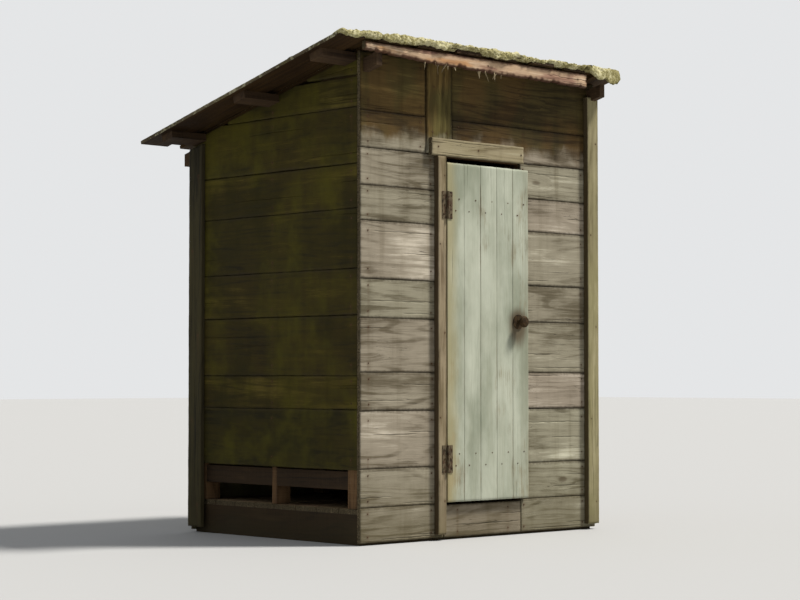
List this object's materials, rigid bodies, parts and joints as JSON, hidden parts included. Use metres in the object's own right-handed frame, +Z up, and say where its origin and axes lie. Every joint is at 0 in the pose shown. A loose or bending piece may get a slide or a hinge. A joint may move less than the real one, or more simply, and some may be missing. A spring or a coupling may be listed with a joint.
{
  "type": "wooden outhouse",
  "caption": "Small wooden outhouse with horizontal board siding, a sloping roof of lapped boards and a hinged plank door.",
  "frame": {"origin": "on the ground, at the middle of the width and depth of the whole outhouse", "axes": "+Z up, the front wall with the door faces -Y, +X to the right of someone who faces the door"},
  "size_m": [2.07, 1.64, 2.523],
  "materials": {
    "frame_timber": "rough sawn, aged brown",
    "floor_boards": "worn grey-brown",
    "weathered_siding": "weathered grey",
    "shaded_siding": "weathered, with a film of green algae",
    "trim_boards": "weathered grey",
    "dark_trim": "weathered, nearly black",
    "fascia": "weathered, reddish grey",
    "roof_boards": "weathered, with lichen and moss",
    "door_paint": "thin worn grey-green paint",
    "rusty_iron": "rusty"
  },
  "bodies": {
    "house": {"sill_left": "frame_timber", "sill_right": "frame_timber", "sill_front": "frame_timber", "sill_back": "frame_timber", "floor_joist": "frame_timber", "floor": "floor_boards", "post_front_left": "frame_timber", "post_front_right": "frame_timber", "post_back_left": "frame_timber", "post_back_right": "frame_timber", "stud_left": "frame_timber", "stud_right": "frame_timber", "stud_back": "frame_timber", "door_stud_left": "frame_timber", "door_stud_right": "frame_timber", "door_header": "frame_timber", "low_rail_left": "frame_timber", "plate_front": "frame_timber", "plate_back": "frame_timber", "rafters": "frame_timber", "purlins": "frame_timber", "wall_left": "shaded_siding", "wall_right": "weathered_siding", "wall_back": "weathered_siding", "wall_front_left": "weathered_siding", "wall_front_right": "weathered_siding", "wall_over_door": "weathered_siding", "wall_under_door": "weathered_siding", "door_casing": "trim_boards", "head_board": "trim_boards", "corner_trim_front": "trim_boards", "corner_boards_back": "dark_trim", "fascia_front": "fascia", "roof_boards_lower": "roof_boards", "roof_boards_upper": "roof_boards", "hinge_top_frame": "rusty_iron", "hinge_bottom_frame": "rusty_iron"},
    "door": {"door_boards": "door_paint", "door_ledge_top": "frame_timber", "door_ledge_bottom": "frame_timber", "door_brace": "frame_timber", "hinge_top_door": "rusty_iron", "hinge_bottom_door": "rusty_iron", "door_knob": "rusty_iron"}
  },
  "joints": [
    {"name": "door_swing", "type": "hinge", "parent": "house", "child": "door", "pos_m": [-0.2045, -0.7135, 1.055], "axis": [0, 0, -1], "range_deg": [0, 120]}
  ]
}
